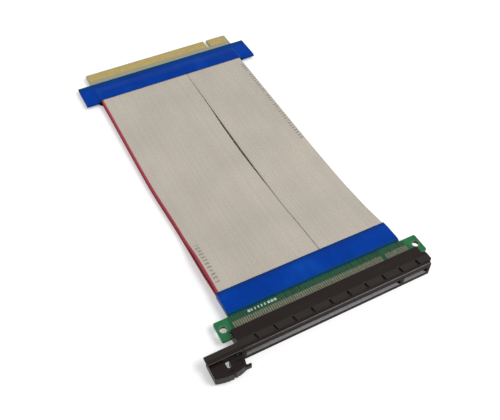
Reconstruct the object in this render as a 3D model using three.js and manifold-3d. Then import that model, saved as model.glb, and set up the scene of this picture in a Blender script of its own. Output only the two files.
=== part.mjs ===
// Flexible riser cable for a 16-lane graphics card: an edge board, two layers of ribbon cable and a card slot.
// Millimetres, +Z up. X runs along the contact rows and Y from the mouth of the slot to the tip of the edge board.
// While it is drawn, X = 0 is the middle of the contact row and Y = 0 is the tail face of the slot housing.

import * as THREE from "three";
import { mergeVertices } from "three/addons/utils/BufferGeometryUtils.js";
import Module from "manifold-3d";

// Contact rows: pin 1 is at +X and the key stands between the short and the long row
const CONTACT_PITCH = 1.0;
const CONTACTS_SHORT_ROW = 11;
const CONTACTS_LONG_ROW = 71;
const KEY_SPAN = 3.0;
const CONTACT_WIDTH = 0.5;
const CONTACT_STOCK = 0.25;
const TAIL_LENGTH = 4.0;
const TAIL_ROOT = 0.8;
const SPRING_REACH = 0.45;
const SPRING_CREST = 1.2;
const SPRING_FROM_MOUTH = 1.4;
const SPRING_LEAD = 1.0;
const SPRING_ARM = 3.8;
const SPRING_ROOT = 0.3;

// Slot housing
const HOUSING_HEIGHT = 7.5;
const HOUSING_DEPTH = 10.6;
const HOUSING_END_MARGIN = 3.0;
const RIM_DEPTH = 1.9;
const PANEL_RECESS = 0.35;
const RIM_CHAMFER = 0.3;
const CARD_CHANNEL_WIDTH = 1.75;
const CARD_CHANNEL_DEPTH = 8.4;
const CARD_CHANNEL_END_MARGIN = 1.3;
const CHANNEL_LEAD_IN = 0.6;
const KEY_RIB_WIDTH = 1.75;
const NOTCH_COUNT = 10;
const NOTCH_PITCH = 8.5;
const NOTCH_ROW_CENTRE = 1.2;
const NOTCH_WIDTH = 1.4;
const NOTCH_TIP_WIDTH = 0.5;
const NOTCH_LENGTH = 2.2;
const NOTCH_DEPTH = 0.6;
const END_BOSS_REACH = 1.9;
const END_BOSS_LENGTH = 5.4;
const END_BOSS_FROM_MOUTH = 1.6;
const END_BOSS_INSET = 0.6;

// Latch ears of the housing and the latch between them
const EAR_LENGTH = 14.5;
const EAR_THICKNESS = 1.3;
const EAR_FROM_TAIL_FACE = 6.2;
const EAR_FROM_MOUTH = 0.3;
const LOWER_EAR_WIDTH = 2.4;
const EAR_WEB_LENGTH = 1.8;
const LATCH_SIDE_GAP = 0.3;
const LATCH_FROM_EAR_TIP = 3.4;
const LATCH_PIVOT_BEHIND_MOUTH = 3.0;
const LATCH_HUB_RADIUS = 1.7;
const EYE_WALL = 0.9;
const TRUNNION_RADIUS = 0.8;
const TRUNNION_CLEARANCE = 0.3;
const TRUNNION_INSET = 0.15;
const LATCH_REACH = 5.6;
const LATCH_OUTER_BULGE = 1.3;
const LATCH_NOTCH_RADIUS = 1.1;
const LATCH_NOTCH_DEPTH = 3.3;
const LATCH_INNER_ARM = 5.6;
const HOOK_LENGTH = 2.6;
const HOOK_WIDTH = 1.1;
const HOOK_THICKNESS = 2.2;

// Boards
const BOARD_THICKNESS = 1.6;
const SLOT_BOARD_DEPTH = 6.6;
const SLOT_EAR_WIDTH = 4.2;
const SLOT_EAR_REACH = 2.5;
const SLOT_BOARD_TONGUE = 5.1;
const SCREW_HOLE_DIAMETER = 3.0;
const SCREW_HOLE_FROM_HOUSING = 1.6;
const SCREW_HOLE_FROM_FRONT = 4.8;
const EDGE_EAR_WIDTH = 6.9;
const EDGE_BOARD_DEPTH = 13.9;
const CARD_EDGE_LENGTH = 10.35;
const CARD_EDGE_MARGIN = 1.1;
const CARD_EDGE_BEVEL_LENGTH = 0.8;
const CARD_EDGE_BEVEL_DEPTH = 0.35;
const CARD_EDGE_CORNER = 1.0;
const KEY_NOTCH_WIDTH = 1.9;
const KEY_NOTCH_DEPTH = 7.4;
const PAD_WIDTH = 0.7;
const PAD_LENGTH = 5.6;
const PAD_SETBACK = 0.9;
const PAD_RELIEF = 0.05;

// Ribbon cable: each layer is a wide and a narrow ribbon beside one another
const RIBBON_PITCH = 1.0;
const RIBBON_THICKNESS = 0.8;
const RIBBON_WEB = 0.55;
const WIDE_CONDUCTORS = 49;
const NARROW_CONDUCTORS = 33;
const SLIT_AT_SLOT = 0.1;
const RIBBON_OFFSET = -0.5;
const EDGE_BOARD_DRIFT = -1.0;
const FREE_SPAN = 147.0;
const RIBBON_LAP = 4.0;
const INNER_COLUMNS = 6;
const WIDE_DRIFT = -1.25;
const NARROW_DRIFT = -0.95;
const WIDE_BOW = -0.4;
const NARROW_BOW = 0.1;
const ARCH_DRIFT = -0.2;
const FOOT_DRIFT = -0.45;
const ARCH_RISE = 0.5;
const ARCH_RIGHT_HEIGHT = 1.0;
const ARCH_FOOT_HEIGHT = 1.2;
const LOWER_LIFT = 0.3;
const MIDDLE_SAG_LEFT = 0.4;
const MIDDLE_SAG_RIGHT = 1.1;

// Blue film sleeves
const FILM_THICKNESS = 0.2;
const SLOT_WRAP_LENGTH = 11.4;
const EDGE_WRAP_OVERHANG = 1.3;

// Clearances between pieces
const SOLDER_GAP = 0.05;
const FILM_CLEARANCE = 0.1;
const FIT_GAP = 0.3;

// Places that follow from the sizes
const contactSpan = (CONTACTS_SHORT_ROW + CONTACTS_LONG_ROW - 2) * CONTACT_PITCH + KEY_SPAN;
const firstContactX = contactSpan / 2;
const keyX = firstContactX - (CONTACTS_SHORT_ROW - 1) * CONTACT_PITCH - KEY_SPAN / 2;
const housingHalf = contactSpan / 2 + HOUSING_END_MARGIN;
const mouthY = -HOUSING_DEPTH;
const midZ = HOUSING_HEIGHT / 2;
const slotBoardBottom = midZ - BOARD_THICKNESS / 2;
const slotBoardTop = midZ + BOARD_THICKNESS / 2;
const slotBoardBack = FIT_GAP + SLOT_BOARD_DEPTH;
const slotBoardEnd = slotBoardBack + SLOT_BOARD_TONGUE;
const slotBoardHalf = housingHalf + FIT_GAP + SLOT_EAR_WIDTH;
const edgeBoardStart = slotBoardEnd + FREE_SPAN;
const edgeShoulder = edgeBoardStart + EDGE_BOARD_DEPTH;
const edgeTip = edgeShoulder + CARD_EDGE_LENGTH;
const cardEdgeHalf = contactSpan / 2 + CARD_EDGE_MARGIN;
const edgeBoardHalf = cardEdgeHalf + EDGE_EAR_WIDTH;
const halfRibbon = RIBBON_THICKNESS / 2;
const filmStack = FILM_CLEARANCE + FILM_THICKNESS;
const edgeBoardBottom = filmStack + RIBBON_THICKNESS + SOLDER_GAP;
const edgeBoardTop = edgeBoardBottom + BOARD_THICKNESS;
const wideWidth = WIDE_CONDUCTORS * RIBBON_PITCH;
const narrowWidth = NARROW_CONDUCTORS * RIBBON_PITCH;
const ribbonHalf = (wideWidth + SLIT_AT_SLOT + narrowWidth) / 2;
const wideLeft = RIBBON_OFFSET - ribbonHalf;
const narrowLeft = wideLeft + wideWidth + SLIT_AT_SLOT;
const latchPivotX = -housingHalf - EAR_LENGTH + LATCH_FROM_EAR_TIP;
const latchPivotY = mouthY + LATCH_PIVOT_BEHIND_MOUTH;

const wasm = await Module();
wasm.setup();

// Solids and meshes

function toSolid(geometry) {
  const bare = geometry.clone();
  bare.deleteAttribute("normal");
  bare.deleteAttribute("uv");
  const merged = mergeVertices(bare);
  const vertProperties = new Float32Array(merged.attributes.position.array);
  const triVerts = new Uint32Array(merged.index.array);
  return new wasm.Manifold(new wasm.Mesh({ numProp: 3, vertProperties, triVerts }));
}

function toGeometry(solid) {
  const { vertProperties, triVerts } = solid.getMesh();
  const geometry = new THREE.BufferGeometry();
  geometry.setAttribute("position", new THREE.BufferAttribute(vertProperties, 3));
  geometry.setIndex(new THREE.BufferAttribute(triVerts, 1));
  geometry.computeVertexNormals();
  return geometry;
}

function joinAll(solids) {
  return solids.reduce((whole, piece) => whole.add(piece));
}

function outline(points) {
  return new THREE.Shape(points.map(([a, b]) => new THREE.Vector2(a, b)));
}

function extrude(shape, length) {
  return new THREE.ExtrudeGeometry(shape, { depth: length, bevelEnabled: false, curveSegments: 8 });
}

// A shape drawn in the XY plane, from one height to another
function prismAlongZ(shape, bottom, top) {
  return toSolid(extrude(shape, top - bottom).translate(0, 0, bottom));
}

// A profile drawn in Y and Z, from one X to another
function prismAlongX(profile, left, right) {
  const turn = new THREE.Matrix4().makeBasis(
    new THREE.Vector3(0, 1, 0),
    new THREE.Vector3(0, 0, 1),
    new THREE.Vector3(1, 0, 0),
  );
  return toSolid(extrude(outline(profile), right - left).applyMatrix4(turn).translate(left, 0, 0));
}

function block([left, right], [front, back], [bottom, top]) {
  const geometry = new THREE.BoxGeometry(right - left, back - front, top - bottom);
  geometry.translate((left + right) / 2, (front + back) / 2, (bottom + top) / 2);
  return toSolid(geometry);
}

function pin(x, y, radius, bottom, top) {
  const geometry = new THREE.CylinderGeometry(radius, radius, top - bottom, 16);
  geometry.rotateX(Math.PI / 2).translate(x, y, (bottom + top) / 2);
  return toSolid(geometry);
}

// Skin over sections that all run the same way round, seen from the front, with a cap at each end
function loft(sections, capTriangles) {
  const size = sections[0].length;
  const index = [];
  for (let s = 0; s < sections.length - 1; s += 1) {
    for (let i = 0; i < size; i += 1) {
      const next = (i + 1) % size;
      const near = s * size;
      const far = near + size;
      index.push(near + i, far + i, far + next);
      index.push(near + i, far + next, near + next);
    }
  }
  const last = (sections.length - 1) * size;
  for (const [a, b, c] of capTriangles) {
    index.push(a, b, c);
    index.push(last + a, last + c, last + b);
  }
  const geometry = new THREE.BufferGeometry().setFromPoints(sections.flat());
  geometry.setIndex(index);
  return geometry;
}

// Cap of a ring whose lower row runs left to right and whose upper row comes back right to left
function stripCap(lower, upper) {
  const upperIndex = (j) => lower.length + upper.length - 1 - j;
  const triangles = [];
  let i = 0;
  let j = 0;
  while (i < lower.length - 1 || j < upper.length - 1) {
    const lowerLeft = i < lower.length - 1;
    const stepLower = j === upper.length - 1 || (lowerLeft && lower[i + 1].x <= upper[j + 1].x);
    if (stepLower) {
      triangles.push([i, i + 1, upperIndex(j)]);
      i += 1;
    } else {
      triangles.push([i, upperIndex(j + 1), upperIndex(j)]);
      j += 1;
    }
  }
  return triangles;
}

// Contacts

function contactCentres() {
  const shortRow = Array.from({ length: CONTACTS_SHORT_ROW }, (_, i) => firstContactX - i * CONTACT_PITCH);
  const longStart = keyX - KEY_SPAN / 2;
  const longRow = Array.from({ length: CONTACTS_LONG_ROW }, (_, i) => longStart - i * CONTACT_PITCH);
  return [...shortRow, ...longRow];
}

// Solder tails reach from the tail face over and under the slot board
function contactTails() {
  const onTop = [slotBoardTop + SOLDER_GAP, slotBoardTop + SOLDER_GAP + CONTACT_STOCK];
  const below = [slotBoardBottom - SOLDER_GAP - CONTACT_STOCK, slotBoardBottom - SOLDER_GAP];
  return contactCentres().flatMap((x) => [onTop, below].map((heights) => {
    return block([x - CONTACT_WIDTH / 2, x + CONTACT_WIDTH / 2], [-TAIL_ROOT, TAIL_LENGTH], heights);
  }));
}

// Spring arms bulge from both walls of the card channel, with the crest near the mouth
function contactSprings() {
  const tip = mouthY + SPRING_FROM_MOUTH;
  const crest = tip + SPRING_LEAD;
  const wall = CARD_CHANNEL_WIDTH / 2;
  const arm = [
    [tip, wall + SPRING_ROOT],
    [tip, wall],
    [crest, wall - SPRING_REACH],
    [crest + SPRING_CREST, wall - SPRING_REACH],
    [crest + SPRING_CREST + SPRING_ARM, wall],
    [crest + SPRING_CREST + SPRING_ARM, wall + SPRING_ROOT],
  ];
  return contactCentres().flatMap((x) => [-1, 1].map((side) => {
    const profile = arm.map(([y, offset]) => [y, midZ + side * offset]);
    return prismAlongX(profile, x - CONTACT_WIDTH / 2, x + CONTACT_WIDTH / 2);
  }));
}

// Slot housing

function housingProfile() {
  const rimBack = mouthY + RIM_DEPTH;
  const panelTop = HOUSING_HEIGHT - PANEL_RECESS;
  return [
    [0, PANEL_RECESS],
    [0, panelTop],
    [rimBack + PANEL_RECESS, panelTop],
    [rimBack, HOUSING_HEIGHT],
    [mouthY + RIM_CHAMFER, HOUSING_HEIGHT],
    [mouthY, HOUSING_HEIGHT - RIM_CHAMFER],
    [mouthY, RIM_CHAMFER],
    [mouthY + RIM_CHAMFER, 0],
    [rimBack, 0],
    [rimBack + PANEL_RECESS, PANEL_RECESS],
  ];
}

// The card channel with its flared lead-in, broken by the key rib
function cardChannels() {
  const half = CARD_CHANNEL_WIDTH / 2;
  const flare = half + CHANNEL_LEAD_IN;
  const profile = [
    [mouthY + CARD_CHANNEL_DEPTH, midZ - half],
    [mouthY + CARD_CHANNEL_DEPTH, midZ + half],
    [mouthY + CHANNEL_LEAD_IN, midZ + half],
    [mouthY - FIT_GAP, midZ + flare + FIT_GAP],
    [mouthY - FIT_GAP, midZ - flare - FIT_GAP],
    [mouthY + CHANNEL_LEAD_IN, midZ - half],
  ];
  const end = contactSpan / 2 + CARD_CHANNEL_END_MARGIN;
  const longChannel = prismAlongX(profile, -end, keyX - KEY_RIB_WIDTH / 2);
  const shortChannel = prismAlongX(profile, keyX + KEY_RIB_WIDTH / 2, end);
  return longChannel.add(shortChannel);
}

// Wedge pockets behind the rim, in the upper and the lower face
function panelNotches() {
  const rimBack = mouthY + RIM_DEPTH;
  const first = NOTCH_ROW_CENTRE - ((NOTCH_COUNT - 1) * NOTCH_PITCH) / 2;
  const pockets = [];
  for (let i = 0; i < NOTCH_COUNT; i += 1) {
    const x = first + i * NOTCH_PITCH;
    const wedge = outline([
      [x - NOTCH_WIDTH / 2, rimBack],
      [x + NOTCH_WIDTH / 2, rimBack],
      [x + NOTCH_TIP_WIDTH / 2, rimBack + NOTCH_LENGTH],
      [x - NOTCH_TIP_WIDTH / 2, rimBack + NOTCH_LENGTH],
    ]);
    const depth = PANEL_RECESS + NOTCH_DEPTH;
    pockets.push(prismAlongZ(wedge, HOUSING_HEIGHT - depth, HOUSING_HEIGHT + FIT_GAP));
    pockets.push(prismAlongZ(wedge, -FIT_GAP, depth));
  }
  return joinAll(pockets);
}

// Rounded locating boss on the end wall beside pin 1
function endBoss() {
  const front = mouthY + END_BOSS_FROM_MOUTH;
  const back = front + END_BOSS_LENGTH;
  const radius = END_BOSS_REACH;
  const shape = new THREE.Shape();
  shape.moveTo(housingHalf - FIT_GAP, front);
  shape.lineTo(housingHalf, front);
  shape.absarc(housingHalf, front + radius, radius, -Math.PI / 2, 0, false);
  shape.absarc(housingHalf, back - radius, radius, 0, Math.PI / 2, false);
  shape.lineTo(housingHalf - FIT_GAP, back);
  return prismAlongZ(shape, END_BOSS_INSET, HOUSING_HEIGHT - END_BOSS_INSET);
}

// Two ears beyond the end wall carry the latch: a broad upper one and a slim lower one with an eye
function latchEars() {
  const tip = -housingHalf - EAR_LENGTH;
  const back = -EAR_FROM_TAIL_FACE;
  const front = mouthY + EAR_FROM_MOUTH;
  const root = -housingHalf + FIT_GAP;
  const bore = TRUNNION_RADIUS + TRUNNION_CLEARANCE;
  const upper = block([tip, root], [front, back], [HOUSING_HEIGHT - EAR_THICKNESS, HOUSING_HEIGHT]);
  const lower = block([tip, root], [back - LOWER_EAR_WIDTH, back], [0, EAR_THICKNESS]);
  const eye = pin(latchPivotX, latchPivotY, bore + EYE_WALL, 0, EAR_THICKNESS);
  const web = block(
    [-housingHalf - EAR_WEB_LENGTH, root],
    [back - LOWER_EAR_WIDTH, back],
    [0, HOUSING_HEIGHT],
  );
  const drill = pin(latchPivotX, latchPivotY, bore, -FIT_GAP, HOUSING_HEIGHT + FIT_GAP);
  return joinAll([upper, lower, eye, web]).subtract(drill);
}

function slotHousing() {
  const body = prismAlongX(housingProfile(), -housingHalf, housingHalf);
  const moulded = body.subtract(cardChannels()).subtract(panelNotches());
  const contacts = [...contactTails(), ...contactSprings()];
  return toGeometry(joinAll([moulded, endBoss(), latchEars(), ...contacts]));
}

// Latch lever, drawn closed against the mouth: hub, arm, notch, outer bar and hook

function latchShape() {
  const left = latchPivotX - LATCH_HUB_RADIUS - LATCH_OUTER_BULGE;
  const right = -housingHalf - FIT_GAP;
  const inner = mouthY - FIT_GAP;
  const outer = mouthY - LATCH_REACH + HOOK_WIDTH / 2;
  const notchRight = right - LATCH_INNER_ARM;
  const notchCentre = notchRight - LATCH_NOTCH_RADIUS;
  const notchBottom = inner - LATCH_NOTCH_DEPTH + LATCH_NOTCH_RADIUS;
  const shape = new THREE.Shape();
  shape.moveTo(latchPivotX - LATCH_HUB_RADIUS, latchPivotY);
  shape.lineTo(left, inner);
  shape.lineTo(left, outer);
  shape.quadraticCurveTo((left + right) / 2, outer - 2 * LATCH_OUTER_BULGE, right - 2 * FIT_GAP, outer);
  shape.lineTo(right, inner - LATCH_NOTCH_RADIUS);
  shape.lineTo(right, inner);
  shape.lineTo(notchRight, inner);
  shape.lineTo(notchRight, notchBottom);
  shape.absarc(notchCentre, notchBottom, LATCH_NOTCH_RADIUS, 0, -Math.PI, true);
  shape.lineTo(notchCentre - LATCH_NOTCH_RADIUS, inner);
  shape.lineTo(latchPivotX + LATCH_HUB_RADIUS, latchPivotY);
  shape.absarc(latchPivotX, latchPivotY, LATCH_HUB_RADIUS, 0, Math.PI, false);
  return shape;
}

function latchHook() {
  const right = -housingHalf - FIT_GAP;
  const outer = mouthY - LATCH_REACH;
  const nose = HOOK_WIDTH / 3;
  const shape = outline([
    [right - HOOK_WIDTH, outer],
    [right + HOOK_LENGTH - HOOK_WIDTH - nose, outer],
    [right + HOOK_LENGTH - HOOK_WIDTH, outer + nose],
    [right + HOOK_LENGTH - HOOK_WIDTH, outer + HOOK_WIDTH],
    [right - HOOK_WIDTH, outer + HOOK_WIDTH],
  ]);
  return prismAlongZ(shape, midZ - HOOK_THICKNESS / 2, midZ + HOOK_THICKNESS / 2);
}

function slotLatch() {
  const bottom = EAR_THICKNESS + LATCH_SIDE_GAP;
  const top = HOUSING_HEIGHT - EAR_THICKNESS - LATCH_SIDE_GAP;
  const lever = prismAlongZ(latchShape(), bottom, top);
  const trunnion = pin(
    latchPivotX,
    latchPivotY,
    TRUNNION_RADIUS,
    TRUNNION_INSET,
    HOUSING_HEIGHT - TRUNNION_INSET,
  );
  return toGeometry(joinAll([lever, latchHook(), trunnion]));
}

// Slot board: ears with screw holes beside the housing and a tongue under the film sleeve

function slotBoard() {
  const half = slotBoardHalf;
  const clear = housingHalf + FIT_GAP;
  const front = FIT_GAP;
  const earFront = front - SLOT_EAR_REACH;
  const shape = outline([
    [-half, earFront],
    [-clear, earFront],
    [-clear, front],
    [clear, front],
    [clear, earFront],
    [half, earFront],
    [half, slotBoardBack],
    [RIBBON_OFFSET + ribbonHalf, slotBoardBack],
    [RIBBON_OFFSET + ribbonHalf, slotBoardEnd],
    [RIBBON_OFFSET - ribbonHalf, slotBoardEnd],
    [RIBBON_OFFSET - ribbonHalf, slotBoardBack],
    [-half, slotBoardBack],
  ]);
  for (const side of [-1, 1]) {
    const hole = new THREE.Path();
    const x = side * (clear + SCREW_HOLE_FROM_HOUSING);
    const y = earFront + SCREW_HOLE_FROM_FRONT;
    hole.absarc(x, y, SCREW_HOLE_DIAMETER / 2, 0, 2 * Math.PI, true);
    shape.holes.push(hole);
  }
  return toGeometry(prismAlongZ(shape, slotBoardBottom, slotBoardTop));
}

// Edge board: broad under the film, then the bevelled card edge with its key notch and raised pads

function edgeBoardShape() {
  const half = edgeBoardHalf;
  const edgeHalf = cardEdgeHalf;
  const notch = KEY_NOTCH_WIDTH / 2;
  const notchFloor = edgeTip - KEY_NOTCH_DEPTH + notch;
  const shape = new THREE.Shape();
  shape.moveTo(-half, edgeBoardStart);
  shape.lineTo(half, edgeBoardStart);
  shape.lineTo(half, edgeShoulder);
  shape.lineTo(edgeHalf, edgeShoulder);
  shape.lineTo(edgeHalf, edgeTip - CARD_EDGE_CORNER);
  shape.lineTo(edgeHalf - CARD_EDGE_CORNER, edgeTip);
  shape.lineTo(keyX + notch, edgeTip);
  shape.lineTo(keyX + notch, notchFloor);
  shape.absarc(keyX, notchFloor, notch, 0, -Math.PI, true);
  shape.lineTo(keyX - notch, edgeTip);
  shape.lineTo(-edgeHalf + CARD_EDGE_CORNER, edgeTip);
  shape.lineTo(-edgeHalf, edgeTip - CARD_EDGE_CORNER);
  shape.lineTo(-edgeHalf, edgeShoulder);
  shape.lineTo(-half, edgeShoulder);
  return shape;
}

function bevelledBoardProfile() {
  return [
    [edgeBoardStart, edgeBoardBottom],
    [edgeTip - CARD_EDGE_BEVEL_LENGTH, edgeBoardBottom],
    [edgeTip, edgeBoardBottom + CARD_EDGE_BEVEL_DEPTH],
    [edgeTip, edgeBoardTop - CARD_EDGE_BEVEL_DEPTH],
    [edgeTip - CARD_EDGE_BEVEL_LENGTH, edgeBoardTop],
    [edgeBoardStart, edgeBoardTop],
  ];
}

function goldPads() {
  const lengthways = [edgeTip - PAD_SETBACK - PAD_LENGTH, edgeTip - PAD_SETBACK];
  const heights = [edgeBoardBottom - PAD_RELIEF, edgeBoardTop + PAD_RELIEF];
  return contactCentres().map((x) => block([x - PAD_WIDTH / 2, x + PAD_WIDTH / 2], lengthways, heights));
}

function edgeBoard() {
  const flat = prismAlongZ(edgeBoardShape(), edgeBoardBottom, edgeBoardTop);
  const bevelled = flat.intersect(prismAlongX(bevelledBoardProfile(), -edgeBoardHalf, edgeBoardHalf));
  const board = joinAll([bevelled, ...goldPads()]);
  return toGeometry(board.translate([EDGE_BOARD_DRIFT, 0, 0]));
}

// Route of the ribbons. `at` is the share of the free span from the slot board, `wide` and `narrow` are the
// sideways drifts of the two ribbons, and the heights are those of the middle of a layer. The upper layer
// arches off the lower one beside the slot, higher on its left edge, and settles on it further along.

function ribbonRoute() {
  const slotUpper = slotBoardTop + SOLDER_GAP + halfRibbon;
  const slotLower = slotBoardBottom - SOLDER_GAP - halfRibbon;
  const edgeUpper = edgeBoardTop + SOLDER_GAP + halfRibbon;
  const edgeLower = edgeBoardBottom - SOLDER_GAP - halfRibbon;
  const flat = halfRibbon;
  const laid = flat + RIBBON_THICKNESS + FIT_GAP;
  const free = (share) => slotBoardEnd + share * FREE_SPAN;
  const atSlot = { wide: 0, narrow: 0, left: slotUpper, right: slotUpper, lower: slotLower };
  const arch = {
    wide: ARCH_DRIFT,
    narrow: ARCH_DRIFT,
    left: slotUpper + ARCH_RISE,
    right: laid + ARCH_RIGHT_HEIGHT,
    lower: flat + LOWER_LIFT,
  };
  const foot = {
    wide: FOOT_DRIFT,
    narrow: FOOT_DRIFT,
    left: laid + ARCH_FOOT_HEIGHT,
    right: laid,
    lower: flat,
  };
  const middle = {
    wide: WIDE_DRIFT + WIDE_BOW,
    narrow: NARROW_DRIFT + NARROW_BOW,
    left: edgeUpper - MIDDLE_SAG_LEFT,
    right: edgeUpper - MIDDLE_SAG_RIGHT,
    lower: flat,
  };
  const atEdge = {
    wide: WIDE_DRIFT,
    narrow: NARROW_DRIFT,
    left: edgeUpper,
    right: edgeUpper,
    lower: edgeLower,
  };
  return [
    { y: slotBoardEnd - RIBBON_LAP, ...atSlot },
    { y: slotBoardEnd, ...atSlot },
    { y: free(0.15), ...arch },
    { y: free(0.29), ...foot },
    { y: free(0.55), ...middle },
    { y: edgeBoardStart, ...atEdge },
    { y: edgeBoardStart + RIBBON_LAP, ...atEdge },
  ];
}

// The route between two stations, at one Y
function stationAt(y) {
  const route = ribbonRoute();
  const next = Math.max(1, route.findIndex((station) => station.y >= y));
  const [before, after] = [route[next - 1], route[next]];
  const share = (y - before.y) / (after.y - before.y);
  const mix = (key) => THREE.MathUtils.lerp(before[key], after[key], share);
  return { y, left: mix("left"), right: mix("right"), lower: mix("lower") };
}

// Height of the middle of the upper layer at one X of a station
function upperHeight(station, x) {
  const share = (x - wideLeft) / (2 * ribbonHalf);
  return station.left + share * (station.right - station.left);
}

// Section of a ribbon: ridges over the conductors on the outer side, flat on the side that faces the other layer
function ribbonSection(station, conductors, left, isUpper) {
  const width = conductors * RIBBON_PITCH;
  const height = (x) => (isUpper ? upperHeight(station, x) : station.lower);
  const outward = isUpper ? 1 : -1;
  const ridged = [];
  for (let i = 0; i <= 2 * conductors; i += 1) {
    const x = left + (i * RIBBON_PITCH) / 2;
    const crest = i % 2 === 1 ? halfRibbon : RIBBON_WEB - halfRibbon;
    ridged.push(new THREE.Vector3(x, station.y, height(x) + outward * crest));
  }
  const flat = [];
  for (let i = 0; i <= INNER_COLUMNS; i += 1) {
    const x = left + (i * width) / INNER_COLUMNS;
    flat.push(new THREE.Vector3(x, station.y, height(x) - outward * halfRibbon));
  }
  return isUpper ? { lower: flat, upper: ridged } : { lower: ridged, upper: flat };
}

function ribbon(kind, isUpper) {
  const isWide = kind === "wide";
  const conductors = isWide ? WIDE_CONDUCTORS : NARROW_CONDUCTORS;
  const start = isWide ? wideLeft : narrowLeft;
  const sections = ribbonRoute().map((station) => {
    return ribbonSection(station, conductors, start + station[kind], isUpper);
  });
  const rings = sections.map(({ lower, upper }) => [...lower, ...upper.toReversed()]);
  return toGeometry(toSolid(loft(rings, stripCap(sections[0].lower, sections[0].upper))));
}

// Film sleeves: an outer skin less the room for what it wraps

function fourCornerRing(y, left, right, bottom, topLeft, topRight) {
  return [
    new THREE.Vector3(left, y, bottom),
    new THREE.Vector3(right, y, bottom),
    new THREE.Vector3(right, y, topRight),
    new THREE.Vector3(left, y, topLeft),
  ];
}

const FOUR_CORNER_CAP = [[0, 1, 2], [0, 2, 3]];

function slotWrap() {
  const front = slotBoardBack + FIT_GAP;
  const back = front + SLOT_WRAP_LENGTH;
  const skin = (margin, overrun) => {
    const places = [front - overrun, slotBoardEnd, back + overrun];
    const rings = places.map((y) => {
      const { lower, left, right } = stationAt(y);
      return fourCornerRing(
        y,
        wideLeft - margin,
        wideLeft + 2 * ribbonHalf + margin,
        lower - halfRibbon - margin,
        left + halfRibbon + margin,
        right + halfRibbon + margin,
      );
    });
    return toSolid(loft(rings, FOUR_CORNER_CAP));
  };
  return toGeometry(skin(filmStack, 0).subtract(skin(FILM_CLEARANCE, FIT_GAP)));
}

// The stepped section hugs the board beside the ribbons and the ribbons in the middle
function edgeWrapSection(margin) {
  const boardHalf = edgeBoardHalf + margin;
  const { wide, narrow } = ribbonRoute().at(-1);
  const left = wideLeft + wide - margin;
  const right = narrowLeft + narrow + narrowWidth + margin;
  const low = edgeBoardBottom - SOLDER_GAP - RIBBON_THICKNESS - margin;
  const high = edgeBoardTop + SOLDER_GAP + RIBBON_THICKNESS + margin;
  return outline([
    [EDGE_BOARD_DRIFT - boardHalf, edgeBoardBottom - margin],
    [left, edgeBoardBottom - margin],
    [left, low],
    [right, low],
    [right, edgeBoardBottom - margin],
    [EDGE_BOARD_DRIFT + boardHalf, edgeBoardBottom - margin],
    [EDGE_BOARD_DRIFT + boardHalf, edgeBoardTop + margin],
    [right, edgeBoardTop + margin],
    [right, high],
    [left, high],
    [left, edgeBoardTop + margin],
    [EDGE_BOARD_DRIFT - boardHalf, edgeBoardTop + margin],
  ]);
}

function prismAlongY(shape, front, back) {
  const geometry = extrude(shape, back - front).rotateX(Math.PI / 2);
  return toSolid(geometry.translate(0, back, 0));
}

function edgeWrap() {
  const front = edgeBoardStart - EDGE_WRAP_OVERHANG;
  const back = edgeShoulder + FIT_GAP;
  const outer = prismAlongY(edgeWrapSection(filmStack), front, back);
  const room = prismAlongY(edgeWrapSection(FILM_CLEARANCE), front - FIT_GAP, back + FIT_GAP);
  return toGeometry(outer.subtract(room));
}

// Materials

const greenBoard = { color: 0x23734a, roughness: 0.4, metalness: 0.0 };
const blueFilm = { color: 0x1244a8, roughness: 0.3, metalness: 0.0 };
const greyRibbon = { color: 0xbcb4a6, roughness: 0.55, metalness: 0.0 };
const blackMoulding = { color: 0x241f1f, roughness: 0.5, metalness: 0.0 };

function piece(name, geometry, finish) {
  const mesh = new THREE.Mesh(geometry, new THREE.MeshStandardMaterial(finish));
  mesh.name = name;
  return mesh;
}

const pieces = [
  piece("edge_board", edgeBoard(), greenBoard),
  piece("edge_wrap", edgeWrap(), blueFilm),
  piece("ribbon_upper_wide", ribbon("wide", true), greyRibbon),
  piece("ribbon_upper_narrow", ribbon("narrow", true), greyRibbon),
  piece("ribbon_lower_wide", ribbon("wide", false), greyRibbon),
  piece("ribbon_lower_narrow", ribbon("narrow", false), greyRibbon),
  piece("slot_wrap", slotWrap(), blueFilm),
  piece("slot_board", slotBoard(), greenBoard),
  piece("slot_housing", slotHousing(), blackMoulding),
  piece("slot_latch", slotLatch(), blackMoulding),
];

// The origin is the middle of the footprint, on the surface that the cable lies on
const riser = new THREE.Group();
riser.add(...pieces);
const bounds = new THREE.Box3().setFromObject(riser);
const centre = bounds.getCenter(new THREE.Vector3());
riser.position.set(-centre.x, -centre.y, -bounds.min.z);
riser.updateMatrixWorld(true);

export default riser;
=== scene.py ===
"""Looks of a flexible riser cable: an edge board, two layers of ribbon and a card slot.

Lengths in the tables and functions are millimetres in the drawing frame. X = 0 is the middle of the contact
row, Y = 0 is the tail face of the slot housing and Z = 0 is the surface that the cable lies on.
"""

import math

import bmesh
import bpy
import numpy as np
from mathutils import Matrix, Vector, noise


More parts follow.
